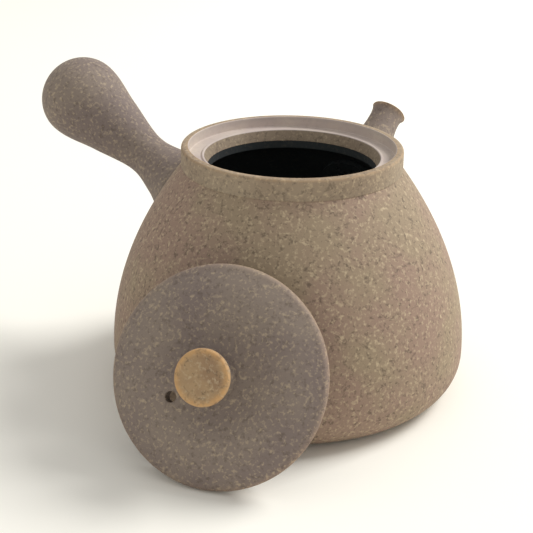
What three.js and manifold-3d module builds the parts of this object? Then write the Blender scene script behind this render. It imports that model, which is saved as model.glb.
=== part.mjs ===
// Side-handled Japanese teapot (kyusu) in unglazed stoneware, with its lid taken off.
// Millimetres, +Z up. The origin is the middle of the pot's flat base.
import * as THREE from 'three';
import { mergeVertices } from 'three/addons/utils/BufferGeometryUtils.js';
import Module from 'manifold-3d';

const wasm = await Module();
wasm.setup();

// Gap between two pieces that are luted together or rest on each other
const jointGap = 0.3;

// Pot body: flat base, low belly and a dome that closes in to the mouth
const potHeight = 70;
const footRadius = 45;
const bellyRadius = 55.6;
const bellyHeight = 12;
const neckRadius = 33.6;
const domePower = 2;
const potWall = 3.6;
const potFloor = 4.2;
const neckLedgeDepth = 2.4;

// Mouth collar with the sunk gallery that takes the lid
const collarRadius = 33.8;
const collarHeight = 6.1;
const collarEdgeRound = 0.9;
const galleryRadius = 31.5;
const galleryDepth = 3.4;
const galleryLipRadius = 26.9;
const galleryLipHeight = 0.4;
const galleryLipWidth = 0.9;
const mouthRadius = 25.8;

// Spout, a short tapered tube at the back right
const spoutAzimuth = 55;
const spoutElevation = 43;
const spoutRootHeight = 59;
const spoutLength = 23;
const spoutRootRadius = 10.5;
const spoutTipRadius = 4.9;
const spoutTaperPower = 2.2;
const spoutLipFlare = 0.8;
const spoutLipPower = 14;
const spoutHoleRadius = 6.8;
const spoutTipBore = 3.3;

// Tea strainer, a pierced plate on the inner wall behind the spout
const strainerHeight = 54;
const strainerRadius = 13;
const strainerThickness = 1.8;
const strainerRim = 1.4;
const strainerHoleRadius = 0.85;
const strainerPitch = 3;

// Hollow handle, a quarter turn from the spout
const handleTurnFromSpout = 90;
const handleElevation = 27;
const handleRootHeight = 54.8;
const handleLength = 61;
const handleRootRadius = 11.4;
const handleWaistRadius = 7;
const handleWaistPlace = 17;
const handleClubRadius = 13.9;
const handleClubPlace = 48;
const handleBoreWaist = 3.6;
const handleBoreClub = 7.2;
const handleEndWall = 4.5;
const handleVentRadius = 2;

// Lid with a dished top, a round edge and a locating skirt
const lidClearance = 0.4;
const lidEdgeThickness = 3.8;
const lidCrestRadius = 19;
const lidCrestHeight = 6.8;
const lidDishRadius = 8.5;
const lidDishHeight = 5.2;
const lidWall = 3;
const lidSkirtDepth = 4.5;
const lidSkirtWall = 2.8;
const ventRadius = 1.6;
const ventAcross = -11.6;
const ventAlong = -7.3;

// Waisted knob on the lid
const knobHeight = 11.5;
const knobFootRadius = 5.6;
const knobWaistRadius = 4.7;
const knobTopRadius = 7.9;
const knobEdgeRound = 0.7;

// Where the lid leans on the pot: its turn from the front toward the handle, and its lean
const lidTurn = 18;
const lidLean = 25;

// How finely round shapes are divided
const potSegments = 56;
const collarSegments = 56;
const tubeSegments = 28;
const lidSegments = 48;
const knobSegments = 28;
const holeSides = 6;

const mouthTop = potHeight + jointGap + collarHeight;
const degrees = THREE.MathUtils.degToRad;

// A direction from its turn about +Z, counted from +X, and its angle above the level
function direction(azimuth, elevation) {
  const level = Math.cos(degrees(elevation));
  return new THREE.Vector3(
    level * Math.cos(degrees(azimuth)),
    level * Math.sin(degrees(azimuth)),
    Math.sin(degrees(elevation)),
  );
}

// A closed mesh as a solid, with merged corners, no empty faces and its faces turned out
function solidOf(geometry) {
  const bare = geometry.clone();
  bare.deleteAttribute('normal');
  bare.deleteAttribute('uv');
  const merged = mergeVertices(bare, 1e-4);
  const place = merged.getAttribute('position');
  const index = merged.getIndex();
  const corner = [new THREE.Vector3(), new THREE.Vector3(), new THREE.Vector3()];
  const faces = [];
  let volume = 0;
  for (let face = 0; face < index.count; face += 3) {
    const [a, b, c] = [index.getX(face), index.getX(face + 1), index.getX(face + 2)];
    if (a === b || b === c || c === a) continue;
    faces.push([a, b, c]);
    [a, b, c].forEach((vertex, k) => corner[k].fromBufferAttribute(place, vertex));
    volume += corner[0].dot(corner[1].clone().cross(corner[2]));
  }
  const outward = volume < 0 ? faces.map(([a, b, c]) => [a, c, b]) : faces;
  return new wasm.Manifold(new wasm.Mesh({
    numProp: 3,
    vertProperties: Float32Array.from(place.array),
    triVerts: Uint32Array.from(outward.flat()),
  }));
}

// The triangles of a solid as a three.js geometry
function geometryOf(solid) {
  const mesh = solid.getMesh();
  const geometry = new THREE.BufferGeometry();
  geometry.setAttribute('position', new THREE.BufferAttribute(mesh.vertProperties, 3));
  geometry.setIndex(new THREE.BufferAttribute(mesh.triVerts, 1));
  geometry.computeVertexNormals();
  return geometry;
}

// A profile of [radius, height] pairs turned about +Z
function turned(profile, segments) {
  const points = profile.map(([radius, height]) => new THREE.Vector2(radius, height));
  return new THREE.LatheGeometry(points, segments).rotateX(Math.PI / 2);
}

// A turned profile laid along a direction from a starting point
function turnedAlong(profile, segments, start, along) {
  const turn = new THREE.Quaternion().setFromUnitVectors(new THREE.Vector3(0, 0, 1), along);
  const place = new THREE.Matrix4().compose(start, turn, new THREE.Vector3(1, 1, 1));
  return turned(profile, segments).applyMatrix4(place);
}

// Values from 0 to 1 in equal steps
function steps(count) {
  return Array.from({ length: count + 1 }, (_, k) => k / count);
}

// Radius of the pot's outside at a height
function potRadiusAt(height) {
  if (height < bellyHeight) {
    const drop = 1 - Math.max(height, 0) / bellyHeight;
    return footRadius + (bellyRadius - footRadius) * Math.sqrt(1 - drop * drop);
  }
  const rise = Math.min((height - bellyHeight) / (potHeight - bellyHeight), 1);
  return neckRadius + (bellyRadius - neckRadius) * (1 - rise ** domePower);
}

// Outward unit normal of the dome at a height, as [radial, upward]
function domeNormalAt(height) {
  const rise = (height - bellyHeight) / (potHeight - bellyHeight);
  const fall = (domePower * (bellyRadius - neckRadius) * rise ** (domePower - 1)) / (potHeight - bellyHeight);
  const length = Math.hypot(1, fall);
  return [1 / length, fall / length];
}

// A point of the dome moved out along its normal, or in where the offset is negative
function domePoint(height, offset) {
  const [radial, upward] = domeNormalAt(height);
  return [potRadiusAt(height) + offset * radial, height + offset * upward];
}

// The dome as a run of points, from the belly up
function domeRun(offset, count) {
  return steps(count).map((k) => domePoint(bellyHeight + k * (potHeight - bellyHeight), offset));
}

// The rounded corner under the belly, a quarter ellipse from the base out to the belly
function cornerRun(radius, floorHeight, count) {
  return steps(count).map((k) => {
    const turn = (k * Math.PI) / 2;
    return [
      footRadius + (radius - footRadius) * Math.sin(turn),
      bellyHeight - (bellyHeight - floorHeight) * Math.cos(turn),
    ];
  });
}

// The pot's full outside as a solid, grown by an offset, for cutting what is luted to it
function potEnvelope(offset) {
  const profile = [
    [0, -offset],
    ...cornerRun(bellyRadius + offset, -offset, 5),
    ...domeRun(offset, 9).slice(1),
    [0, potHeight + offset],
  ];
  return solidOf(turned(profile, potSegments));
}

// Frame of a tube that leaves the dome: the point on its axis at the wall, and its direction
function wallStart(azimuth, height) {
  return direction(azimuth, 0).multiplyScalar(potRadiusAt(height)).setZ(height);
}

const handleAzimuth = spoutAzimuth + handleTurnFromSpout;
const spoutStart = wallStart(spoutAzimuth, spoutRootHeight);
const spoutAlong = direction(spoutAzimuth, spoutElevation);
const handleStart = wallStart(handleAzimuth, handleRootHeight);
const handleAlong = direction(handleAzimuth, handleElevation);

// Pot body: a shell with a flat base, an open mouth and the hole to the spout
function potBody() {
  const inner = domeRun(-potWall, 7);
  const innerTop = inner[inner.length - 1];
  const profile = [
    [0, 0],
    ...cornerRun(bellyRadius, 0, 5),
    ...domeRun(0, 9).slice(1),
    [mouthRadius, potHeight],
    [mouthRadius, potHeight - neckLedgeDepth],
    [innerTop[0], Math.min(innerTop[1], potHeight - neckLedgeDepth)],
    ...inner.slice(0, -1).reverse(),
    ...cornerRun(bellyRadius - potWall, potFloor, 4).slice(0, -1).reverse(),
    [0, potFloor],
  ];
  const reach = 2 * potWall;
  const hole = [[0, -2 * reach], [spoutHoleRadius, -2 * reach], [spoutHoleRadius, reach], [0, reach]];
  const drill = solidOf(turnedAlong(hole, tubeSegments, spoutStart, spoutAlong));
  return solidOf(turned(profile, potSegments)).subtract(drill);
}

// Mouth collar: a ring with a flat top, a sunk gallery, a small lip and the mouth's wall
function mouthCollar() {
  const bottom = potHeight + jointGap;
  const ledge = mouthTop - galleryDepth;
  const profile = [
    [mouthRadius, bottom],
    [collarRadius, bottom],
    [collarRadius, mouthTop - collarEdgeRound],
    [collarRadius - collarEdgeRound * 0.3, mouthTop - collarEdgeRound * 0.3],
    [collarRadius - collarEdgeRound, mouthTop],
    [galleryRadius, mouthTop],
    [galleryRadius, ledge],
    [galleryLipRadius + galleryLipWidth, ledge],
    [galleryLipRadius + galleryLipWidth / 2, ledge + galleryLipHeight],
    [galleryLipRadius, ledge + galleryLipHeight],
    [mouthRadius, bottom],
  ];
  return solidOf(turned(profile, collarSegments));
}

// Outer radius of the spout, from its flared root to the slight lip at its tip
function spoutRadiusAt(along) {
  const part = Math.max(along, 0) / spoutLength;
  const taper = (spoutRootRadius - spoutTipRadius) * (1 - part) ** spoutTaperPower;
  return spoutTipRadius + taper + spoutLipFlare * part ** spoutLipPower;
}

// Spout: a hollow tube cut to the dome at its root and square at its tip
function spout() {
  const buried = -2 * potWall;
  const outer = steps(9).map((k) => [spoutRadiusAt(k * spoutLength), k * spoutLength]);
  const profile = [
    [spoutHoleRadius, buried],
    [spoutRootRadius, buried],
    ...outer,
    [spoutTipBore, spoutLength],
    [spoutHoleRadius, 0],
    [spoutHoleRadius, buried],
  ];
  const tube = solidOf(turnedAlong(profile, tubeSegments, spoutStart, spoutAlong));
  return tube.subtract(potEnvelope(jointGap));
}

// Centres of a triangular hole pattern inside a circle
function holeCentres(radius, pitch) {
  const rowStep = pitch * Math.sqrt(0.75);
  const rows = Math.ceil(radius / rowStep);
  const columns = Math.ceil(radius / pitch) + 1;
  const centres = [];
  for (let row = -rows; row <= rows; row += 1) {
    for (let column = -columns; column <= columns; column += 1) {
      const x = (column + (Math.abs(row) % 2) / 2) * pitch;
      const y = row * rowStep;
      if (Math.hypot(x, y) <= radius) centres.push([x, y]);
    }
  }
  return centres;
}

// Tea strainer: a round patch of the inner wall's own curve, pierced all over
function teaStrainer() {
  const outside = domeRun(-potWall - jointGap, 7);
  const inside = domeRun(-potWall - jointGap - strainerThickness, 7).reverse();
  const shell = solidOf(turned([...outside, ...inside, outside[0]], potSegments));
  const [radial, upward] = domeNormalAt(strainerHeight);
  const [radius, height] = domePoint(strainerHeight, -potWall);
  const centre = direction(spoutAzimuth, 0).multiplyScalar(radius).setZ(height);
  const along = direction(spoutAzimuth, THREE.MathUtils.radToDeg(Math.atan2(upward, radial)));
  const reach = 3 * (strainerThickness + jointGap + potWall);
  const disc = [[0, -reach], [strainerRadius, -reach], [strainerRadius, reach], [0, reach]];
  const plate = shell.intersect(solidOf(turnedAlong(disc, tubeSegments, centre, along)));
  const pin = [[0, -reach], [strainerHoleRadius, -reach], [strainerHoleRadius, reach], [0, reach]];
  const turn = new THREE.Quaternion().setFromUnitVectors(new THREE.Vector3(0, 0, 1), along);
  const pattern = holeCentres(strainerRadius - strainerRim - strainerHoleRadius, strainerPitch);
  return pattern.reduce((pierced, [x, y]) => {
    const start = new THREE.Vector3(x, y, 0).applyQuaternion(turn).add(centre);
    return pierced.subtract(solidOf(turnedAlong(pin, holeSides, start, along)));
  }, plate);
}

// Handle: a hollow club, flared into the pot, narrow behind it and round at its vented end
function handle() {
  const buried = -2 * potWall;
  const outline = new THREE.SplineCurve([
    new THREE.Vector2(handleRootRadius, 0),
    new THREE.Vector2((handleRootRadius + handleWaistRadius) / 2.1, handleWaistPlace * 0.4),
    new THREE.Vector2(handleWaistRadius, handleWaistPlace),
    new THREE.Vector2((handleWaistRadius + handleClubRadius) / 2, (handleWaistPlace + handleClubPlace) / 2),
    new THREE.Vector2(handleClubRadius, handleClubPlace),
  ]).getPoints(12).map((point) => [point.x, point.y]);
  const end = steps(6).slice(1).map((k) => {
    const turn = (k * Math.PI) / 2;
    return [
      Math.max(handleClubRadius * Math.cos(turn), handleVentRadius),
      handleClubPlace + (handleLength - handleClubPlace) * Math.sin(turn),
    ];
  });
  const profile = [
    [handleBoreWaist, buried],
    [handleRootRadius, buried],
    ...outline,
    ...end,
    [handleVentRadius, handleLength - handleEndWall],
    [handleBoreClub * 0.7, handleLength - handleEndWall],
    [handleBoreClub, handleClubPlace],
    [handleBoreWaist, handleWaistPlace],
    [handleBoreWaist, buried],
  ];
  const club = solidOf(turnedAlong(profile, tubeSegments, handleStart, handleAlong));
  return club.subtract(potEnvelope(jointGap));
}

const lidRadius = galleryRadius - lidClearance;
const lidSkirtRadius = mouthRadius - lidClearance;

// Section of the lid in its own frame, where +Z is its top side and 0 is its seat
function lidProfile() {
  const edgeMiddle = lidEdgeThickness / 2;
  const edge = steps(4).map((k) => {
    const turn = (k - 0.5) * Math.PI * 0.8;
    return [
      lidRadius - edgeMiddle * (1 - Math.cos(turn)),
      edgeMiddle * (1 + Math.sin(turn) / Math.sin(0.4 * Math.PI)),
    ];
  });
  const fall = steps(4).slice(1).map((k) => {
    const [startRadius, startHeight] = edge[edge.length - 1];
    return [
      startRadius + (lidCrestRadius - startRadius) * k,
      startHeight + (lidCrestHeight - startHeight) * Math.sin((k * Math.PI) / 2),
    ];
  });
  const dish = steps(3).slice(1).map((k) => [
    lidCrestRadius + (lidDishRadius - lidCrestRadius) * k,
    lidCrestHeight + (lidDishHeight - lidCrestHeight) * (1 - Math.cos(k * Math.PI)) / 2,
  ]);
  const recess = lidDishHeight - lidWall;
  const skirtInside = lidSkirtRadius - lidSkirtWall;
  return [
    [0, recess],
    [skirtInside - recess, recess],
    [skirtInside, 0],
    [skirtInside, -lidSkirtDepth],
    [lidSkirtRadius, -lidSkirtDepth],
    [lidSkirtRadius, 0],
    ...edge,
    ...fall,
    ...dish,
    [0, lidDishHeight],
  ];
}

// Lid: the turned section with a steam vent beside the knob
function lid() {
  const reach = 2 * (lidCrestHeight + lidSkirtDepth);
  const vent = [[0, -reach], [ventRadius, -reach], [ventRadius, reach], [0, reach]];
  const place = new THREE.Vector3(ventAcross, ventAlong, 0);
  const drill = solidOf(turnedAlong(vent, knobSegments / 2, place, new THREE.Vector3(0, 0, 1)));
  return solidOf(turned(lidProfile(), lidSegments)).subtract(drill);
}

// Knob: waisted, with a flat top and a rounded upper edge
function lidKnob() {
  const base = lidDishHeight + jointGap;
  const top = base + knobHeight;
  const profile = [
    [0, base],
    [knobFootRadius, base],
    [knobWaistRadius, base + knobHeight * 0.35],
    [knobWaistRadius + 0.5, base + knobHeight * 0.55],
    [knobTopRadius - 0.6, top - knobEdgeRound * 3.2],
    [knobTopRadius, top - knobEdgeRound * 1.6],
    [knobTopRadius - knobEdgeRound * 0.3, top - knobEdgeRound * 0.3],
    [knobTopRadius - knobEdgeRound, top],
    [0, top],
  ];
  return solidOf(turned(profile, knobSegments));
}

// The leaning lid's frame: across, up its slope and out of its top side
function lidPlacement() {
  const outward = direction(-90 - lidTurn, 0);
  const facing = direction(-90 - lidTurn, lidLean);
  const across = new THREE.Vector3(0, 0, 1).cross(outward).normalize();
  const slope = facing.clone().cross(across);
  const turn = new THREE.Matrix4().makeBasis(across, slope, facing);
  const corners = lidProfile().flatMap(([radius, height]) => steps(lidSegments).map((k) => {
    const angle = k * 2 * Math.PI;
    return new THREE.Vector3(radius * Math.cos(angle), radius * Math.sin(angle), height).applyMatrix4(turn);
  }));
  const lift = -Math.min(...corners.map((corner) => corner.z));
  const distances = corners.map((corner) => {
    const radius = potRadiusAt(corner.z + lift) + jointGap;
    const aside = corner.dot(across);
    return Math.sqrt(Math.max(radius * radius - aside * aside, 0)) - corner.dot(outward);
  });
  return turn.setPosition(outward.multiplyScalar(Math.max(...distances)).setZ(lift));
}

// Unglazed stoneware in its fired tones
function stoneware(color, roughness) {
  return new THREE.MeshStandardMaterial({ color, roughness, metalness: 0 });
}

const warmClay = stoneware(0x8a7860, 0.85);
const rimClay = stoneware(0x94836b, 0.85);
const ashClay = stoneware(0x77695f, 0.88);
const darkClay = stoneware(0x2a2e30, 0.8);
const wornClay = stoneware(0xa0845f, 0.8);

function named(name, solid, material) {
  const mesh = new THREE.Mesh(geometryOf(solid), material);
  mesh.name = name;
  return mesh;
}

const kyusu = new THREE.Group();
kyusu.add(named('pot_body', potBody(), warmClay));
kyusu.add(named('mouth_collar', mouthCollar(), rimClay));
kyusu.add(named('spout', spout(), ashClay));
kyusu.add(named('tea_strainer', teaStrainer(), darkClay));
kyusu.add(named('handle', handle(), ashClay));

const leaningLid = new THREE.Group();
leaningLid.add(named('lid', lid(), ashClay));
leaningLid.add(named('lid_knob', lidKnob(), wornClay));
leaningLid.applyMatrix4(lidPlacement());
kyusu.add(leaningLid);

export default kyusu;
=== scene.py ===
# Looks of a side-handled stoneware teapot (kyusu) and its leaning lid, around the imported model
import math

import bpy
import numpy as np
from bpy.props import FloatProperty, FloatVectorProperty, PointerProperty
from mathutils import Matrix


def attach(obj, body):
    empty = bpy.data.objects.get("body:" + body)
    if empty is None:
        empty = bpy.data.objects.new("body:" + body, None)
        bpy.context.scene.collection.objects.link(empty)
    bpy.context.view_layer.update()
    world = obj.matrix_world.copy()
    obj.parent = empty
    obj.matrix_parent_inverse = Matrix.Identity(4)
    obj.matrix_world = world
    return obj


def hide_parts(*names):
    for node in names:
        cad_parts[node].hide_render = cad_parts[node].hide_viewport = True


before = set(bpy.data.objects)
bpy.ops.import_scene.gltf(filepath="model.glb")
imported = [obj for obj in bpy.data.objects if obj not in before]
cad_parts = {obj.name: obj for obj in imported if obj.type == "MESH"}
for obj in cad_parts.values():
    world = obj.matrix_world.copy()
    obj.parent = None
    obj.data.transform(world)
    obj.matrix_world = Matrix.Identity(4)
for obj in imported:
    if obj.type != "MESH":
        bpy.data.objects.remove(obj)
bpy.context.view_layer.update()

bl_info = {
    "name": "Kyusu teapot",
    "version": (1, 0, 0),
    "blender": (4, 5, 0),
    "location": "View3D > Sidebar > Kyusu",
    "description": "Makes a side-handled stoneware teapot with its lid leaning on it",
    "category": "Object",
}

# Bodies of the frame that the pieces ride on
POT_BODY = "pot"
LID_BODY = "lid_assembly"

# Divisions round the turned pieces
FINE_TURNS = 256
TUBE_TURNS = 128
KNOB_TURNS = 96

# Divisions of the leaning lid in the frame, which set where it touches
LID_FRAME_TURNS = 48
LID_FRAME_STEPS = (4, 4, 3)

AXIS_TOLERANCE = 1e-7
SHARP_EDGE = math.radians(38.0)

# How far the collar and the knob sink on to their seats, and luted pieces into the wall
SUNK_JOINT = 0.0001
LUTED_DEPTH = 0.001

# Margins that tell the ground seat from the rest of the collar
SEAT_REACH = 0.00025
SEAT_SINK = 0.00005

# Powers that shape the spout: its taper, the flare of its tip and the reach of its drawn lip
TAPER_POWER = 2.2
FLARE_POWER = 14
LIP_POWER = 10
TIP_ROUND = 0.0004

# The flare between the handle's root and waist, and how its bore closes at the end
ROOT_FLARE_SHARE = 2.1
ROOT_FLARE_PLACE = 0.4
BORE_END_SHARE = 0.7
VENT_EDGE = 0.0002

# Arc of the lid's round edge, and the lid's divisions as it is drawn
EDGE_ARC = 0.8 * math.pi
LID_FINE_STEPS = (28, 60, 50)

# The knob's flared foot, its waist as a share of its height, its shoulder and its rolled edge
KNOB_FOOT_FLARE = 0.0006
KNOB_WAIST_SHARE = 0.45
KNOB_WAIST_REACH = 0.0045
KNOB_SHOULDER = 0.0026
KNOB_EDGE = 0.0012
KNOB_EDGE_REACH = 0.0006
KNOB_BARE_CLAY = 0.0022

# Widths over which rubbed edges show, and how much of it the lid's edge shows
COLLAR_WEAR = 0.0007
SPOUT_WEAR = 0.0012
LID_WEAR = 0.0016
LID_WORN = 0.5
KNOB_WEAR = 0.0011

# Patches from the flame, and the sand, iron and skin of the clay
PATCH_SIZE = 0.022
KNOB_PATCH_SIZE = 0.006
SAND_SIZE = 0.0011
IRON_SIZE = 0.0015
SKIN_HEIGHT = 0.0001

# Sockets of the colour Mix node
MIX_FACTOR = 0
MIX_A = 6
MIX_B = 7
MIX_RESULT = 2

IMAGE_PIXELS = 533
SENSOR_WIDTH = 36.0


def linear(hexcode):
    """Linear red, green and blue of an sRGB hex colour."""
    value = np.array([int(hexcode[k:k + 2], 16) for k in (1, 3, 5)]) / 255.0
    low = value / 12.92
    high = ((value + 0.055) / 1.055) ** 2.4
    return tuple(float(v) for v in np.where(value <= 0.04045, low, high))


def length(name, description, metres):
    """A size in metres for the sidebar."""
    return FloatProperty(name=name, description=description, default=metres, unit="LENGTH", precision=5)


def angle(name, description, degrees):
    """An angle for the sidebar, written here in degrees."""
    return FloatProperty(name=name, description=description, default=math.radians(degrees), subtype="ANGLE")


def colour(name, description, hexcode):
    """A colour for the sidebar, written here as sRGB hex."""
    return FloatVectorProperty(
        name=name, description=description, default=linear(hexcode), size=3, min=0.0, max=1.0, subtype="COLOR"
    )


class PotSizes(bpy.types.PropertyGroup):
    """Sizes of the pot body and its mouth collar"""

    height: length("Height", "Base to the seat of the collar", 0.070)
    foot_radius: length("Foot radius", "Radius of the flat base", 0.045)
    belly_radius: length("Belly radius", "Largest radius, low on the pot", 0.0556)
    belly_height: length("Belly height", "Height of the largest radius", 0.012)
    neck_radius: length("Neck radius", "Radius where the dome meets the collar", 0.0336)
    wall: length("Wall", "Thickness of the dome", 0.0036)
    floor: length("Floor", "Thickness of the base", 0.0042)
    neck_ledge: length("Neck ledge", "Depth of the neck under the collar", 0.0024)
    mouth_radius: length("Mouth radius", "Radius of the opening", 0.0258)
    collar_radius: length("Collar radius", "Outside radius of the collar", 0.0338)
    collar_height: length("Collar height", "Collar above the pot's neck", 0.0064)
    gallery_radius: length("Gallery radius", "Radius of the sunk seat", 0.0315)
    gallery_depth: length("Gallery depth", "Seat below the collar's top", 0.0034)
    lip_radius: length("Lip radius", "Inner radius of the small lip on the seat", 0.0269)
    lip_height: length("Lip height", "Height of the small lip", 0.0004)
    lip_width: length("Lip width", "Width of the small lip", 0.0009)


class SpoutSizes(bpy.types.PropertyGroup):
    """Sizes of the spout"""

    azimuth: angle("Azimuth", "Turn about +Z, counted from +X", 55.0)
    elevation: angle("Elevation", "Angle above the level", 43.0)
    root_height: length("Root height", "Height of its axis at the wall", 0.059)
    length: length("Length", "Wall to tip along its axis", 0.023)
    root_radius: length("Root radius", "Outside radius at the wall", 0.0105)
    tip_radius: length("Tip radius", "Outside radius near the tip", 0.0049)
    lip_flare: length("Lip flare", "How far the tip flares out", 0.0008)
    pouring_lip: length("Pouring lip", "How far the lower lip is drawn out", 0.0012)
    hole_radius: length("Hole radius", "Radius of the hole in the pot's wall", 0.0068)
    tip_bore: length("Tip bore", "Radius of the bore at the tip", 0.0036)


class HandleSizes(bpy.types.PropertyGroup):
    """Sizes of the handle"""

    azimuth: angle("Azimuth", "Turn about +Z, counted from +X", 145.0)
    elevation: angle("Elevation", "Angle above the level", 27.0)
    root_height: length("Root height", "Height of its axis at the wall", 0.0548)
    length: length("Length", "Wall to the round end", 0.061)
    root_radius: length("Root radius", "Radius of the flared root", 0.0114)
    waist_radius: length("Waist radius", "Smallest radius", 0.007)
    waist_place: length("Waist place", "Distance of the waist from the wall", 0.017)
    club_radius: length("Club radius", "Largest radius", 0.0139)
    club_place: length("Club place", "Distance of the largest radius from the wall", 0.048)
    bore_waist: length("Waist bore", "Radius of the hollow at the waist", 0.0036)
    bore_club: length("Club bore", "Radius of the hollow at the club", 0.0072)
    end_wall: length("End wall", "Thickness of the round end", 0.0045)
    vent_radius: length("Vent radius", "Radius of the vent in the round end", 0.002)


class LidSizes(bpy.types.PropertyGroup):
    """Sizes and place of the lid and its knob"""

    turn: angle("Turn", "Turn from the front toward the handle", 18.0)
    lean: angle("Lean", "Lean back from upright", 25.0)
    clearance: length("Clearance", "Lid to gallery and skirt to mouth", 0.0004)
    contact_gap: length("Contact gap", "Gap to the pot where it leans", 0.0003)
    edge: length("Edge", "Thickness of the round edge", 0.0038)
    crest_radius: length("Crest radius", "Radius of the soft crest", 0.019)
    crest_height: length("Crest height", "Height of the soft crest", 0.0068)
    dish_radius: length("Dish radius", "Radius of the flat dish", 0.0085)
    dish_height: length("Dish height", "Height of the dish", 0.0052)
    wall: length("Wall", "Thickness over the recess", 0.003)
    skirt_depth: length("Skirt depth", "Skirt below the seat", 0.0045)
    skirt_wall: length("Skirt wall", "Thickness of the skirt", 0.0028)
    vent_radius: length("Vent radius", "Radius of the steam vent", 0.0016)
    vent_across: length("Vent across", "Vent from the middle, across the lid", -0.0116)
    vent_along: length("Vent along", "Vent from the middle, up the lid's slope", -0.0073)
    knob_height: length("Knob height", "Height of the knob", 0.0115)
    knob_gap: length("Knob gap", "Gap between knob and dish in the frame", 0.0003)
    knob_foot: length("Knob foot", "Radius of the knob's foot", 0.0056)
    knob_waist: length("Knob waist", "Smallest radius of the knob", 0.0047)
    knob_top: length("Knob top", "Radius of the knob's flat top", 0.0079)


class ClayColours(bpy.types.PropertyGroup):
    """Fired tones of the clays, and the painted shade of the inside"""

    pot: colour("Pot", "Warm brown of the pot", "#94826A")
    pot_patch: colour("Pot patches", "Rosy patches on the pot", "#937B6A")
    ash: colour("Ash", "Ash grey of lid, handle and spout", "#86786C")
    ash_patch: colour("Ash patches", "Darker patches of the ash grey", "#7B6D66")
    rim: colour("Rim", "Turned rim", "#9A8A74")
    rim_patch: colour("Rim patches", "Patches on the rim", "#8E7D69")
    seat: colour("Seat", "Ground seat of the lid", "#C9BCAE")
    seat_patch: colour("Seat patches", "Patches on the seat", "#B9ABA3")
    # The inside's near-black colour and its patches are painted shade, standing for the dark that falls
    # inside the pot
    inside: colour("Inside", "Smoke-black inside", "#23292B")
    inside_shade_patch: colour("Inside patches", "Patches of the inside", "#1B2123")
    knob: colour("Knob", "Tan top of the knob", "#A88C68")
    knob_patch: colour("Knob patches", "Patches on the knob", "#967A5C")
    dark_grain: colour("Dark grains", "Iron specks", "#4A3D32")
    light_grain: colour("Light grains", "Pale sand grains", "#C9B595")
    worn: colour("Worn edge", "Orange-tan of a rubbed edge", "#C79B66")


class StageSettings(bpy.types.PropertyGroup):
    """Camera, lamps and floor"""

    focal_pixels: FloatProperty(name="Focal length", description="In pixels of the image", default=1270.4)
    elevation: angle("Elevation", "Camera above the level", 22.43)
    distance: length("Distance", "Camera to its target", 0.4009)
    roll: angle("Roll", "Turn of the camera about its view", 1.06)
    target_x: length("Target X", "Point that the camera looks at", -0.0072)
    target_z: length("Target Z", "Height of that point", 0.0363)
    fill: FloatProperty(name="Fill", description="Strength of the light from all round", default=0.62)
    key_power: FloatProperty(
        name="Key power", description="Power of the soft key lamp", default=22.0, unit="POWER"
    )
    key_azimuth: angle("Key azimuth", "Turn of the key lamp about +Z, counted from +X", 22.0)
    key_elevation: angle("Key elevation", "Key lamp above the level", 44.0)
    key_distance: length("Key distance", "Key lamp to the pot", 1.6)
    key_size: length("Key size", "Side of the square key lamp", 0.7)
    floor_size: length("Floor size", "Side of the floor", 6.0)
    floor_drop: length("Floor drop", "Floor below the pot's base", 0.0002)
    floor_colour: colour("Floor", "Pale warm floor", "#FBF8EE")
    backdrop: colour("Backdrop", "What the camera sees past the floor", "#FFFDF6")


def unit(vectors):
    """Vectors scaled to length 1."""
    return vectors / np.linalg.norm(vectors, axis=-1, keepdims=True)


def rounded(corners, bend, closed):
    """An outline whose corners are rounded: each (radius, height, reach) corner becomes a parabola that
    starts and ends that reach before and after it. The ends of an open outline stay as they are."""
    corners = np.asarray(corners, float)
    points = corners[:, :2]
    reach = corners[:, 2:]
    start = points + unit(np.roll(points, 1, axis=0) - points) * reach
    stop = points + unit(np.roll(points, -1, axis=0) - points) * reach
    part = np.linspace(0.0, 1.0, bend)[None, :, None]
    curves = (
        (1 - part) ** 2 * start[:, None] + 2 * part * (1 - part) * points[:, None] + part**2 * stop[:, None]
    )
    if closed:
        outline = curves.reshape(-1, 2)
    else:
        outline = np.concatenate([points[:1], curves[1:-1].reshape(-1, 2), points[-1:]])
    return distinct(outline)


def distinct(outline):
    """An outline without points that repeat the one before."""
    step = np.linalg.norm(np.diff(outline, axis=0), axis=1)
    return outline[np.concatenate([[True], step > AXIS_TOLERANCE])]


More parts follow.
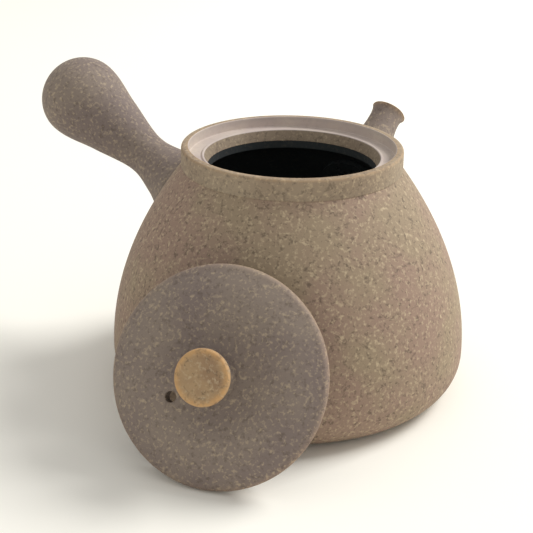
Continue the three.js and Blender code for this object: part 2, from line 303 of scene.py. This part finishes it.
def revolve(profile, turns, closed=False, stretch=None):
    """Surface of revolution: every profile point (radius, height) is carried round +Z in equal turns, and a
    point on the axis becomes one vertex. A closed profile joins its last row to its first. stretch(turn,
    profile) gives a factor for each row and turn by which the radius grows."""
    profile = np.asarray(profile, float)
    rows = len(profile)
    turn = np.linspace(0.0, 2.0 * np.pi, turns, endpoint=False)
    radius = np.repeat(profile[:, :1], turns, axis=1)
    if stretch is not None:
        radius = radius * stretch(turn, profile)
    height = np.repeat(profile[:, 1:], turns, axis=1)
    grid = np.stack([radius * np.cos(turn), radius * np.sin(turn), height], axis=-1)
    polar = profile[:, 0] < AXIS_TOLERANCE
    counts = np.where(polar, 1, turns)
    first = np.cumsum(counts) - counts
    index = first[:, None] + np.where(polar[:, None], 0, np.arange(turns))
    keep = ~polar[:, None] | (np.arange(turns) == 0)
    vertex_row = np.repeat(np.arange(rows)[:, None], turns, axis=1)[keep]
    upper = np.roll(index, -1, axis=0)
    upper_polar = np.roll(polar, -1)
    last = rows if closed else rows - 1
    quads = np.stack([index, np.roll(index, -1, axis=1), np.roll(upper, -1, axis=1), upper], axis=-1)[:last]
    row = np.repeat(np.arange(rows)[:, None], turns, axis=1)[:last]
    plain = ~(polar | upper_polar)[:last]
    faces = quads[plain].reshape(-1, 4).tolist()
    face_row = [row[plain].ravel()]
    for poles, corners in ((polar[:last], (0, 2, 3)), (upper_polar[:last], (0, 1, 2))):
        faces += quads[poles][..., list(corners)].reshape(-1, 3).tolist()
        face_row.append(row[poles].ravel())
    return grid[keep], faces, vertex_row, np.concatenate(face_row)


def wear_near(profile, places, width):
    """Wear of each profile point: 1 at the nearest place, falling off as a bell curve of that width."""
    gap = np.linalg.norm(profile[:, None] - np.asarray(places, float)[None], axis=-1).min(axis=1)
    return np.exp(-((gap / width) ** 2))


def upright():
    """The pot's own frame."""
    return np.eye(4)


def direction(azimuth, elevation):
    """Unit vector at a turn about +Z, counted from +X, and an angle above the level."""
    level = math.cos(elevation)
    return np.array([level * math.cos(azimuth), level * math.sin(azimuth), math.sin(elevation)])


def frame_along(start, along):
    """Frame with its origin at start, +Z along a direction and +X on its lower side."""
    side = unit(np.cross([0.0, 0.0, 1.0], along))
    place = np.eye(4)
    place[:3, 0] = np.cross(side, along)
    place[:3, 1] = side
    place[:3, 2] = along
    place[:3, 3] = start
    return place


def shade(mesh):
    """Smooth shading with the sharp edges kept."""
    mesh.polygons.foreach_set("use_smooth", np.ones(len(mesh.polygons), bool))
    mesh.set_sharp_from_angle(angle=SHARP_EDGE)
    mesh.update()


def new_piece(name, surface, place, materials=(), paint=None, wear=None):
    """A mesh object at the origin from a surface, its vertices moved into place. paint gives the material
    of each profile row and wear how rubbed each row is."""
    vertices, faces, vertex_row, face_row = surface
    points = vertices @ place[:3, :3].T + place[:3, 3]
    mesh = bpy.data.meshes.new(name)
    mesh.from_pydata(points.tolist(), [], faces)
    for material in materials:
        mesh.materials.append(material)
    if paint is not None:
        mesh.polygons.foreach_set("material_index", np.asarray(paint, np.int32)[face_row])
    worn = mesh.attributes.new("wear", "FLOAT", "POINT")
    amount = np.zeros(len(points)) if wear is None else np.asarray(wear)[vertex_row]
    worn.data.foreach_set("value", amount.astype(np.float32))
    shade(mesh)
    piece = bpy.data.objects.new(name, mesh)
    bpy.context.scene.collection.objects.link(piece)
    return piece


def cut(piece, cutter):
    """Takes the cutter's volume out of the piece and leaves the piece a plain mesh."""
    tool = piece.modifiers.new("cut", "BOOLEAN")
    tool.operation = "DIFFERENCE"
    tool.solver = "EXACT"
    tool.object = cutter
    bpy.context.view_layer.update()
    graph = bpy.context.evaluated_depsgraph_get()
    whole = piece.data
    shaped = bpy.data.meshes.new_from_object(
        piece.evaluated_get(graph), preserve_all_data_layers=True, depsgraph=graph
    )
    piece.modifiers.clear()
    piece.data = shaped
    bpy.data.meshes.remove(whole)
    shaped.name = piece.name
    cutting_mesh = cutter.data
    bpy.data.objects.remove(cutter)
    bpy.data.meshes.remove(cutting_mesh)
    shade(shaped)


def declare(piece, body, node):
    """Hangs the piece on the frame's body that it rides on, and hides the node that it stands for."""
    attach(piece, body)
    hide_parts(node)


def pot_radius(pot, height):
    """Outside radius at a height: a quarter ellipse up to the belly, then a parabola in to the neck."""
    height = np.asarray(height, float)
    drop = 1.0 - np.clip(height, 0.0, pot.belly_height) / pot.belly_height
    corner = pot.foot_radius + (pot.belly_radius - pot.foot_radius) * np.sqrt(
        np.clip(1.0 - drop**2, 0.0, 1.0)
    )
    rise = np.clip((height - pot.belly_height) / (pot.height - pot.belly_height), 0.0, 1.0)
    dome = pot.neck_radius + (pot.belly_radius - pot.neck_radius) * (1.0 - rise**2)
    return np.where(height < pot.belly_height, corner, dome)


def dome_run(pot, offset, count):
    """The dome's outline from belly to neck, moved along its outward normal by an offset."""
    height = np.linspace(pot.belly_height, pot.height, count)
    span = pot.height - pot.belly_height
    slope = 2.0 * (pot.belly_radius - pot.neck_radius) * (height - pot.belly_height) / span**2
    length_of_normal = np.hypot(1.0, slope)
    radius = pot_radius(pot, height) + offset / length_of_normal
    return np.column_stack([radius, height + offset * slope / length_of_normal])


def corner_run(pot, radius, floor, count):
    """The round corner under the belly: a quarter ellipse from the foot out to a radius."""
    turn = np.linspace(0.0, np.pi / 2, count)
    across = pot.foot_radius + (radius - pot.foot_radius) * np.sin(turn)
    return np.column_stack([across, pot.belly_height - (pot.belly_height - floor) * np.cos(turn)])


def pot_envelope(pot, offset):
    """The pot's outside as one closed form, moved out by an offset, to cut what is luted to it."""
    profile = np.concatenate([
        [[0.0, -offset]],
        corner_run(pot, pot.belly_radius + offset, -offset, 12),
        dome_run(pot, offset, 40)[1:],
        [[0.0, pot.height + offset]],
    ])
    return new_piece("pot_envelope", revolve(profile, FINE_TURNS), upright())


def wall_start(pot, azimuth, height):
    """Point on the pot's outside at a turn and a height."""
    return direction(azimuth, 0.0) * float(pot_radius(pot, height)) + np.array([0.0, 0.0, height])


def drill(name, radius, reach, place):
    """A closed cylinder about the frame's +Z, as far below as above its origin."""
    profile = [[0.0, -reach], [radius, -reach], [radius, reach], [0.0, reach]]
    return new_piece(name, revolve(profile, KNOB_TURNS), place)


def add(tree, kind, inputs, **settings):
    """A node with its settings, and its inputs set or linked by name or number."""
    node = tree.nodes.new(kind)
    for name, value in settings.items():
        setattr(node, name, value)
    for name, value in inputs.items():
        if isinstance(value, bpy.types.NodeSocket):
            tree.links.new(value, node.inputs[name])
        else:
            node.inputs[name].default_value = value
    return node


def stoneware(name, clay, patch, grains=1.0, rubbed=0.0, patch_size=PATCH_SIZE):
    """Unglazed stoneware, thrown and fired: dry and matt, with sand and iron grains in the clay.

    Patches follow the flame and are about 22 mm across. The grains are 0.5 to 1 mm, drawn a little coarser so
    that they show. The bump is a sandy skin 0.1 mm high."""
    made = bpy.data.materials.get(name)
    if made:
        return made
    clays = bpy.context.scene.kyusu_clays
    material = bpy.data.materials.new(name)
    material.use_nodes = True
    tree = material.node_tree
    tree.nodes.clear()
    rgba = {key: (*getattr(clays, key), 1.0) for key in ("dark_grain", "light_grain", "worn")}
    where = add(tree, "ShaderNodeTexCoord", {}).outputs["Object"]
    flame = add(
        tree, "ShaderNodeTexNoise", {"Vector": where, "Scale": 1 / patch_size, "Detail": 4.0}
    ).outputs["Fac"]
    sand = add(
        tree, "ShaderNodeTexNoise", {"Vector": where, "Scale": 1 / SAND_SIZE, "Detail": 2.0, "Roughness": 0.6}
    ).outputs["Fac"]
    iron = add(
        tree, "ShaderNodeTexNoise", {"Vector": where, "Scale": 1 / IRON_SIZE, "Detail": 2.0, "Roughness": 0.7}
    ).outputs["Fac"]
    patches = add(
        tree, "ShaderNodeMapRange", {"Value": flame, "From Min": 0.40, "From Max": 0.60}
    ).outputs["Result"]
    pale = add(
        tree, "ShaderNodeMapRange",
        {"Value": sand, "From Min": 0.53, "From Max": 0.72, "To Max": 0.62 * grains},
    ).outputs["Result"]
    dark = add(
        tree, "ShaderNodeMapRange",
        {"Value": iron, "From Min": 0.47, "From Max": 0.30, "To Max": 0.62 * grains},
    ).outputs["Result"]
    body = add(
        tree, "ShaderNodeMix",
        {MIX_FACTOR: patches, MIX_A: (*clay, 1.0), MIX_B: (*patch, 1.0)}, data_type="RGBA",
    ).outputs[MIX_RESULT]
    speckled = add(
        tree, "ShaderNodeMix", {MIX_FACTOR: dark, MIX_A: body, MIX_B: rgba["dark_grain"]}, data_type="RGBA"
    ).outputs[MIX_RESULT]
    grainy = add(
        tree, "ShaderNodeMix",
        {MIX_FACTOR: pale, MIX_A: speckled, MIX_B: rgba["light_grain"]}, data_type="RGBA",
    ).outputs[MIX_RESULT]
    wear = add(tree, "ShaderNodeAttribute", {}, attribute_name="wear").outputs["Fac"]
    broken = add(
        tree, "ShaderNodeMapRange",
        {"Value": iron, "From Min": 0.3, "From Max": 0.6, "To Min": 0.3 * rubbed, "To Max": rubbed},
    ).outputs["Result"]
    shown = add(tree, "ShaderNodeMath", {0: wear, 1: broken}, operation="MULTIPLY").outputs["Value"]
    surface = add(
        tree, "ShaderNodeMix", {MIX_FACTOR: shown, MIX_A: grainy, MIX_B: rgba["worn"]}, data_type="RGBA"
    ).outputs[MIX_RESULT]
    matt = add(
        tree, "ShaderNodeMapRange", {"Value": flame, "To Min": 0.72, "To Max": 0.88}
    ).outputs["Result"]
    skin = add(
        tree, "ShaderNodeBump", {"Height": sand, "Strength": 0.45, "Distance": SKIN_HEIGHT}
    ).outputs["Normal"]
    shader = add(tree, "ShaderNodeBsdfPrincipled", {"Base Color": surface, "Roughness": matt, "Normal": skin})
    add(tree, "ShaderNodeOutputMaterial", {"Surface": shader.outputs["BSDF"]})
    return material


def pot_clay():
    """Warm brown stoneware of the thrown pot."""
    clays = bpy.context.scene.kyusu_clays
    return stoneware("stoneware_pot_thrown", clays.pot, clays.pot_patch, rubbed=0.3)


def ash_clay():
    """Ash-grey stoneware of lid, handle and spout, where the flame's ash settled."""
    clays = bpy.context.scene.kyusu_clays
    return stoneware("stoneware_ash_thrown", clays.ash, clays.ash_patch, grains=0.7, rubbed=0.4)


def rim_clay():
    """Brown stoneware turned smooth at the rim."""
    clays = bpy.context.scene.kyusu_clays
    return stoneware("stoneware_rim_turned", clays.rim, clays.rim_patch, grains=0.8, rubbed=0.35)


def seat_clay():
    """Pale bare clay of the seat, ground flat with grit to fit the lid."""
    clays = bpy.context.scene.kyusu_clays
    return stoneware("stoneware_seat_ground", clays.seat, clays.seat_patch, grains=0.15)


def painted_inside_shade():
    """Near-black painted shade for the inside and the strainer, standing for the dark that falls inside the
    pot.
    """
    clays = bpy.context.scene.kyusu_clays
    return stoneware("stoneware_painted_inside_shade", clays.inside, clays.inside_shade_patch, grains=0.06)


def knob_clay():
    """Tan clay of the knob's top, rubbed bright along its edge."""
    clays = bpy.context.scene.kyusu_clays
    return stoneware(
        "stoneware_knob_rubbed", clays.knob, clays.knob_patch, grains=0.9, rubbed=0.9,
        patch_size=KNOB_PATCH_SIZE,
    )


class MakePot(bpy.types.Operator):
    """Pot body: a thrown shell with a flat base, a dome and the hole to the spout"""

    bl_idname = "kyusu.make_pot"
    bl_label = "Make pot body"

    def execute(self, context):
        pot = context.scene.kyusu_pot
        spout = context.scene.kyusu_spout
        inner = dome_run(pot, -pot.wall, 60)
        outside = np.concatenate([
            [[0.0, 0.0]],
            corner_run(pot, pot.belly_radius, 0.0, 30),
            dome_run(pot, 0.0, 110)[1:],
        ])
        neck_floor = pot.height - pot.neck_ledge
        under_neck = inner[inner[:, 1] < neck_floor]
        inside = np.concatenate([
            [[pot.mouth_radius, pot.height], [pot.mouth_radius, neck_floor]],
            [[under_neck[-1, 0], neck_floor]],
            under_neck[::-1],
            corner_run(pot, pot.belly_radius - pot.wall, pot.floor, 20)[:-1][::-1],
            [[0.0, pot.floor]],
        ])
        profile = np.concatenate([outside, inside])
        # The inside rows take the near-black painted shade of the inside
        paint = np.arange(len(profile)) >= len(outside)
        piece = new_piece(
            "stoneware_pot", revolve(profile, FINE_TURNS), upright(), [pot_clay(), painted_inside_shade()], paint,
        )
        start = wall_start(pot, spout.azimuth, spout.root_height)
        along = direction(spout.azimuth, spout.elevation)
        cut(piece, drill("spout_drill", spout.hole_radius, 4 * pot.wall, frame_along(start, along)))
        declare(piece, POT_BODY, "pot_body")
        return {"FINISHED"}


class MakeCollar(bpy.types.Operator):
    """Mouth collar: a turned ring with a sunk, ground gallery and a small lip"""

    bl_idname = "kyusu.make_collar"
    bl_label = "Make mouth collar"

    def execute(self, context):
        pot = context.scene.kyusu_pot
        top = pot.height + pot.collar_height
        ledge = top - pot.gallery_depth
        bottom = pot.height - SUNK_JOINT
        lip_top = ledge + pot.lip_height
        # Each corner is its radius, its height and the reach of its rounding
        corners = [
            [pot.mouth_radius, bottom, 0.0003],
            [pot.collar_radius, bottom, 0.0004],
            [pot.collar_radius, top, 0.0010],
            [pot.gallery_radius, top, 0.0004],
            [pot.gallery_radius, ledge, 0.0004],
            [pot.lip_radius + pot.lip_width, ledge, 0.0002],
            [pot.lip_radius + pot.lip_width * 0.6, lip_top, 0.0001],
            [pot.lip_radius, lip_top, 0.0003],
        ]
        profile = rounded(corners, 9, closed=True)
        middle = (profile + np.roll(profile, -1, axis=0)) / 2
        seat = (middle[:, 0] < pot.gallery_radius + SEAT_REACH) & (middle[:, 1] > ledge - SEAT_SINK)
        wear = wear_near(profile, [[pot.collar_radius, top], [pot.gallery_radius, top]], COLLAR_WEAR)
        piece = new_piece(
            "stoneware_collar", revolve(profile, FINE_TURNS, closed=True), upright(),
            [rim_clay(), seat_clay()], seat, wear,
        )
        declare(piece, POT_BODY, "mouth_collar")
        return {"FINISHED"}


class MakeSpout(bpy.types.Operator):
    """Spout: a short tapered tube luted to the dome, with a drawn pouring lip"""

    bl_idname = "kyusu.make_spout"
    bl_label = "Make spout"

    def execute(self, context):
        pot = context.scene.kyusu_pot
        spout = context.scene.kyusu_spout
        buried = -2 * pot.wall
        part = np.linspace(0.0, 1.0, 70)
        taper = (spout.root_radius - spout.tip_radius) * (1 - part) ** TAPER_POWER
        radius = spout.tip_radius + taper + spout.lip_flare * part**FLARE_POWER
        shoulder = spout.length - TIP_ROUND
        outside = np.column_stack([radius, part * shoulder])
        tip = np.linspace(0.0, np.pi, 12)[1:-1]
        wall = (radius[-1] - spout.tip_bore) / 2
        rim = np.column_stack([
            spout.tip_bore + wall * (1 + np.cos(tip)),
            shoulder + TIP_ROUND * np.sin(tip),
        ])
        profile = np.concatenate([
            [[spout.hole_radius, buried], [spout.root_radius, buried]],
            outside,
            rim,
            [[spout.tip_bore, shoulder], [spout.hole_radius, 0.0]],
        ])

        def lip(turn, rows):
            """The lower side near the tip drawn out, as a power of the distance along the spout."""
            near_tip = np.clip(rows[:, 1:] / spout.length, 0.0, 1.0) ** LIP_POWER
            return 1 + spout.pouring_lip / spout.tip_radius * near_tip * np.clip(np.cos(turn), 0.0, 1.0) ** 2

        start = wall_start(pot, spout.azimuth, spout.root_height)
        place = frame_along(start, direction(spout.azimuth, spout.elevation))
        wear = wear_near(profile, [[radius[-1], spout.length]], SPOUT_WEAR)
        surface = revolve(profile, TUBE_TURNS, closed=True, stretch=lip)
        piece = new_piece("stoneware_spout", surface, place, [ash_clay()], wear=wear)
        cut(piece, pot_envelope(pot, -LUTED_DEPTH))
        declare(piece, POT_BODY, "spout")
        return {"FINISHED"}


class FinishStrainer(bpy.types.Operator):
    """Tea strainer: the frame's own pierced plate, given the near-black painted shade of the inside"""

    bl_idname = "kyusu.finish_strainer"
    bl_label = "Finish tea strainer"

    def execute(self, context):
        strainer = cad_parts["tea_strainer"]
        strainer.data.materials.clear()
        strainer.data.materials.append(painted_inside_shade())
        return {"FINISHED"}


def spline_through(knots, count):
    """Catmull-Rom curve through the knots. It runs on straight before the first and level past the last."""
    before = 2 * knots[0] - knots[1]
    after = np.array([knots[-2, 0], 2 * knots[-1, 1] - knots[-2, 1]])
    points = np.vstack([before, knots, after])
    at = np.linspace(0.0, len(knots) - 1, count)
    k = np.minimum(at.astype(int), len(knots) - 2)
    t = (at - k)[:, None]
    p0, p1, p2, p3 = points[k], points[k + 1], points[k + 2], points[k + 3]
    cubic = (3 * p1 - p0 - 3 * p2 + p3) * t**3
    square = (2 * p0 - 5 * p1 + 4 * p2 - p3) * t**2
    return 0.5 * (2 * p1 + (p2 - p0) * t + square + cubic)


class MakeHandle(bpy.types.Operator):
    """Handle: a hollow club, flared into the pot and round at its vented end"""

    bl_idname = "kyusu.make_handle"
    bl_label = "Make handle"

    def execute(self, context):
        pot = context.scene.kyusu_pot
        handle = context.scene.kyusu_handle
        buried = -2 * pot.wall
        knots = np.array([
            [handle.root_radius, 0.0],
            [
                (handle.root_radius + handle.waist_radius) / ROOT_FLARE_SHARE,
                handle.waist_place * ROOT_FLARE_PLACE,
            ],
            [handle.waist_radius, handle.waist_place],
            [(handle.waist_radius + handle.club_radius) / 2, (handle.waist_place + handle.club_place) / 2],
            [handle.club_radius, handle.club_place],
        ])
        outline = spline_through(knots, 90)
        turn = np.linspace(0.0, np.pi / 2, 40)[1:]
        end = np.column_stack([
            handle.club_radius * np.cos(turn),
            handle.club_place + (handle.length - handle.club_place) * np.sin(turn),
        ])
        end = end[end[:, 0] > handle.vent_radius]
        profile = np.concatenate([
            [[handle.bore_waist, buried], [handle.root_radius, buried]],
            outline,
            end,
            [
                [handle.vent_radius, handle.length - VENT_EDGE],
                [handle.vent_radius, handle.length - handle.end_wall],
                [handle.bore_club * BORE_END_SHARE, handle.length - handle.end_wall],
                [handle.bore_club, handle.club_place],
                [handle.bore_waist, handle.waist_place],
            ],
        ])
        start = wall_start(pot, handle.azimuth, handle.root_height)
        place = frame_along(start, direction(handle.azimuth, handle.elevation))
        surface = revolve(profile, TUBE_TURNS, closed=True)
        piece = new_piece("stoneware_handle", surface, place, [ash_clay()])
        cut(piece, pot_envelope(pot, -LUTED_DEPTH))
        declare(piece, POT_BODY, "handle")
        return {"FINISHED"}


def lid_profile(lid, pot, edge_steps, fall_steps, dish_steps):
    """Section of the lid: recess and skirt below its seat at 0, an arc round its edge, a quarter sine up to
    the crest and a half cosine down to the flat dish."""
    radius = pot.gallery_radius - lid.clearance
    skirt = pot.mouth_radius - lid.clearance
    skirt_inside = skirt - lid.skirt_wall
    recess = lid.dish_height - lid.wall
    half = lid.edge / 2
    turn = (np.linspace(0.0, 1.0, edge_steps + 1) - 0.5) * EDGE_ARC
    edge = np.column_stack([
        radius - half * (1 - np.cos(turn)),
        half * (1 + np.sin(turn) / math.sin(EDGE_ARC / 2)),
    ])
    k = np.linspace(0.0, 1.0, fall_steps + 1)[1:]
    fall = np.column_stack([
        edge[-1, 0] + (lid.crest_radius - edge[-1, 0]) * k,
        edge[-1, 1] + (lid.crest_height - edge[-1, 1]) * np.sin(k * np.pi / 2),
    ])
    k = np.linspace(0.0, 1.0, dish_steps + 1)[1:]
    dish = np.column_stack([
        lid.crest_radius + (lid.dish_radius - lid.crest_radius) * k,
        lid.crest_height + (lid.dish_height - lid.crest_height) * (1 - np.cos(k * np.pi)) / 2,
    ])
    return np.concatenate([
        [[0.0, recess], [skirt_inside - recess, recess], [skirt_inside, 0.0]],
        [[skirt_inside, -lid.skirt_depth], [skirt, -lid.skirt_depth], [skirt, 0.0]],
        edge, fall, dish, [[0.0, lid.dish_height]],
    ])


def lid_place(lid, pot):
    """Frame of the leaning lid: it stands on its edge and moves in until it is a small gap from the pot."""
    outward = direction(-math.pi / 2 - lid.turn, 0.0)
    facing = direction(-math.pi / 2 - lid.turn, lid.lean)
    across = unit(np.cross([0.0, 0.0, 1.0], outward))
    axes = np.column_stack([across, np.cross(facing, across), facing])
    profile = lid_profile(lid, pot, *LID_FRAME_STEPS)
    turn = np.linspace(0.0, 2 * np.pi, LID_FRAME_TURNS + 1)
    radius, height = profile[:, 0, None], np.repeat(profile[:, 1:], len(turn), axis=1)
    corners = (
        np.stack([radius * np.cos(turn), radius * np.sin(turn), height], axis=-1).reshape(-1, 3) @ axes.T
    )
    lift = -corners[:, 2].min()
    reach = pot_radius(pot, corners[:, 2] + lift) + lid.contact_gap
    aside = corners @ across
    distance = (np.sqrt(np.clip(reach**2 - aside**2, 0.0, None)) - corners @ outward).max()
    place = np.eye(4)
    place[:3, :3] = axes
    place[:3, 3] = outward * distance + np.array([0.0, 0.0, lift])
    return place


class MakeLid(bpy.types.Operator):
    """Lid: a turned plate with a round edge, a soft crest, a dished middle, a skirt and a steam vent"""

    bl_idname = "kyusu.make_lid"
    bl_label = "Make lid"

    def execute(self, context):
        lid = context.scene.kyusu_lid
        pot = context.scene.kyusu_pot
        profile = lid_profile(lid, pot, *LID_FINE_STEPS)
        place = lid_place(lid, pot)
        wear = wear_near(profile, [[pot.gallery_radius - lid.clearance, lid.edge / 2]], LID_WEAR) * LID_WORN
        piece = new_piece("stoneware_lid", revolve(profile, FINE_TURNS), place, [ash_clay()], wear=wear)
        vent = np.eye(4)
        vent[:3, 3] = [lid.vent_across, lid.vent_along, 0.0]
        cut(piece, drill("vent_drill", lid.vent_radius, 2 * lid.crest_height, place @ vent))
        declare(piece, LID_BODY, "lid")
        return {"FINISHED"}


class MakeKnob(bpy.types.Operator):
    """Knob: waisted, flared into the lid, with a flat top whose edge is rubbed bright"""

    bl_idname = "kyusu.make_knob"
    bl_label = "Make knob"

    def execute(self, context):
        lid = context.scene.kyusu_lid
        pot = context.scene.kyusu_pot
        base = lid.dish_height - SUNK_JOINT
        top = lid.dish_height + lid.knob_gap + lid.knob_height
        waist = lid.dish_height + lid.knob_height * KNOB_WAIST_SHARE
        # Each corner is its radius, its height and the reach of its rounding
        corners = [
            [0.0, base, 0.0],
            [lid.knob_foot + KNOB_FOOT_FLARE, base, 0.0],
            [lid.knob_waist - 0.0001, waist, KNOB_WAIST_REACH],
            [lid.knob_top - 0.0005, top - KNOB_SHOULDER, KNOB_EDGE],
            [lid.knob_top, top - KNOB_EDGE, KNOB_EDGE_REACH],
            [lid.knob_top - 0.0004, top, KNOB_EDGE_REACH],
            [0.0, top, 0.0],
        ]
        profile = rounded(corners, 14, closed=False)
        flat = np.linspace(profile[-2, 0], 0.0, 24)[1:-1]
        profile = np.concatenate([
            profile[:-1],
            np.column_stack([flat, np.full(len(flat), top)]),
            profile[-1:],
        ])
        wear = wear_near(profile, [[lid.knob_top - KNOB_EDGE_REACH, top]], KNOB_WEAR)
        paint = profile[:, 1] > top - KNOB_BARE_CLAY
        piece = new_piece(
            "stoneware_knob", revolve(profile, KNOB_TURNS), lid_place(lid, pot), [ash_clay(), knob_clay()],
            paint, wear,
        )
        declare(piece, LID_BODY, "lid_knob")
        return {"FINISHED"}


def floor_material(shade_colour):
    """Matt paint on the studio floor: plain and pale, so the object's shadow shows."""
    material = bpy.data.materials.new("matt_paint_floor")
    material.use_nodes = True
    tree = material.node_tree
    tree.nodes.clear()
    shader = add(tree, "ShaderNodeBsdfDiffuse", {"Color": (*shade_colour, 1.0)})
    add(tree, "ShaderNodeOutputMaterial", {"Surface": shader.outputs["BSDF"]})
    return material


class SetStage(bpy.types.Operator):
    """Stage: the pale floor, the soft key lamp, the light from all round and the camera"""

    bl_idname = "kyusu.set_stage"
    bl_label = "Set stage"

    def execute(self, context):
        stage = context.scene.kyusu_stage
        self.lay_floor(stage)
        self.hang_lamp(stage)
        self.light_world(context.scene, stage)
        self.place_camera(context.scene, stage)
        context.scene.view_settings.view_transform = "Standard"
        return {"FINISHED"}

    def lay_floor(self, stage):
        """A square a hair below the pot's base."""
        side = stage.floor_size / 2
        corners = [(-side, -side), (side, -side), (side, side), (-side, side)]
        mesh = bpy.data.meshes.new("floor")
        mesh.from_pydata([(x, y, -stage.floor_drop) for x, y in corners], [], [(0, 1, 2, 3)])
        mesh.materials.append(floor_material(stage.floor_colour))
        floor = bpy.data.objects.new("floor", mesh)
        bpy.context.scene.collection.objects.link(floor)

    def hang_lamp(self, stage):
        """A square area lamp that faces the pot from the back right."""
        data = bpy.data.lights.new("key_lamp", "AREA")
        data.energy = stage.key_power
        data.shape = "SQUARE"
        data.size = stage.key_size
        lamp = bpy.data.objects.new("key_lamp", data)
        bpy.context.scene.collection.objects.link(lamp)
        toward = direction(stage.key_azimuth, stage.key_elevation)
        place = frame_along(toward * stage.key_distance, toward)
        lamp.matrix_world = Matrix(place.tolist())

    def light_world(self, scene, stage):
        """Even light from all round, with the pale backdrop for what the camera or a reflection sees."""
        world = bpy.data.worlds.new("studio")
        world.use_nodes = True
        tree = world.node_tree
        tree.nodes.clear()
        rays = add(tree, "ShaderNodeLightPath", {})
        seen = add(
            tree, "ShaderNodeMath",
            {0: rays.outputs["Is Camera Ray"], 1: rays.outputs["Is Glossy Ray"]}, operation="MAXIMUM",
        )
        seen_through = add(
            tree, "ShaderNodeMath", {0: seen.outputs["Value"], 1: rays.outputs["Is Transmission Ray"]},
            operation="MAXIMUM",
        )
        fill = add(tree, "ShaderNodeBackground", {"Color": (1.0, 1.0, 1.0, 1.0), "Strength": stage.fill})
        backdrop = add(tree, "ShaderNodeBackground", {"Color": (*stage.backdrop, 1.0), "Strength": 1.0})
        both = add(
            tree, "ShaderNodeMixShader",
            {
                0: seen_through.outputs["Value"],
                1: fill.outputs["Background"],
                2: backdrop.outputs["Background"],
            },
        )
        add(tree, "ShaderNodeOutputWorld", {"Surface": both.outputs["Shader"]})
        scene.world = world

    def place_camera(self, scene, stage):
        """A camera that looks along +Y and down, rolled a little, as the photograph was taken."""
        back = np.array([0.0, -math.cos(stage.elevation), math.sin(stage.elevation)])
        right = np.array([1.0, 0.0, 0.0])
        up = np.cross(back, right)
        place = np.eye(4)
        place[:3, 0] = right * math.cos(stage.roll) + up * math.sin(stage.roll)
        place[:3, 1] = up * math.cos(stage.roll) - right * math.sin(stage.roll)
        place[:3, 2] = back
        place[:3, 3] = np.array([stage.target_x, 0.0, stage.target_z]) + back * stage.distance
        data = bpy.data.cameras.new("photo_camera")
        data.sensor_width = SENSOR_WIDTH
        data.lens = stage.focal_pixels / IMAGE_PIXELS * SENSOR_WIDTH
        camera = bpy.data.objects.new("photo_camera", data)
        scene.collection.objects.link(camera)
        camera.matrix_world = Matrix(place.tolist())
        scene.camera = camera


class KyusuPanel(bpy.types.Panel):
    """Sizes, colours and steps of the teapot"""

    bl_idname = "VIEW3D_PT_kyusu"
    bl_label = "Kyusu"
    bl_space_type = "VIEW_3D"
    bl_region_type = "UI"
    bl_category = "Kyusu"

    def draw(self, context):
        for name in SETTINGS:
            box = self.layout.box()
            group = getattr(context.scene, name)
            for key in group.__annotations__:
                box.prop(group, key)
        for operator in OPERATORS:
            self.layout.operator(operator.bl_idname)


SETTINGS = {
    "kyusu_pot": PotSizes,
    "kyusu_spout": SpoutSizes,
    "kyusu_handle": HandleSizes,
    "kyusu_lid": LidSizes,
    "kyusu_clays": ClayColours,
    "kyusu_stage": StageSettings,
}
OPERATORS = (MakePot, MakeCollar, MakeSpout, FinishStrainer, MakeHandle, MakeLid, MakeKnob, SetStage)


def register():
    for name, group in SETTINGS.items():
        bpy.utils.register_class(group)
        setattr(bpy.types.Scene, name, PointerProperty(type=group))
    for operator in OPERATORS:
        bpy.utils.register_class(operator)
    bpy.utils.register_class(KyusuPanel)


def unregister():
    bpy.utils.unregister_class(KyusuPanel)
    for operator in reversed(OPERATORS):
        bpy.utils.unregister_class(operator)
    for name, group in reversed(SETTINGS.items()):
        delattr(bpy.types.Scene, name)
        bpy.utils.unregister_class(group)


def plain(bounds):
    """Two corners as plain lists of numbers."""
    return [[float(value) for value in corner] for corner in bounds]


def main():
    register()
    bpy.ops.kyusu.make_pot()
    bpy.ops.kyusu.make_collar()
    bpy.ops.kyusu.make_spout()
    bpy.ops.kyusu.finish_strainer()
    bpy.ops.kyusu.make_handle()
    bpy.ops.kyusu.make_lid()
    bpy.ops.kyusu.make_knob()
    bpy.ops.kyusu.set_stage()


if __name__ == "__main__":
    main()
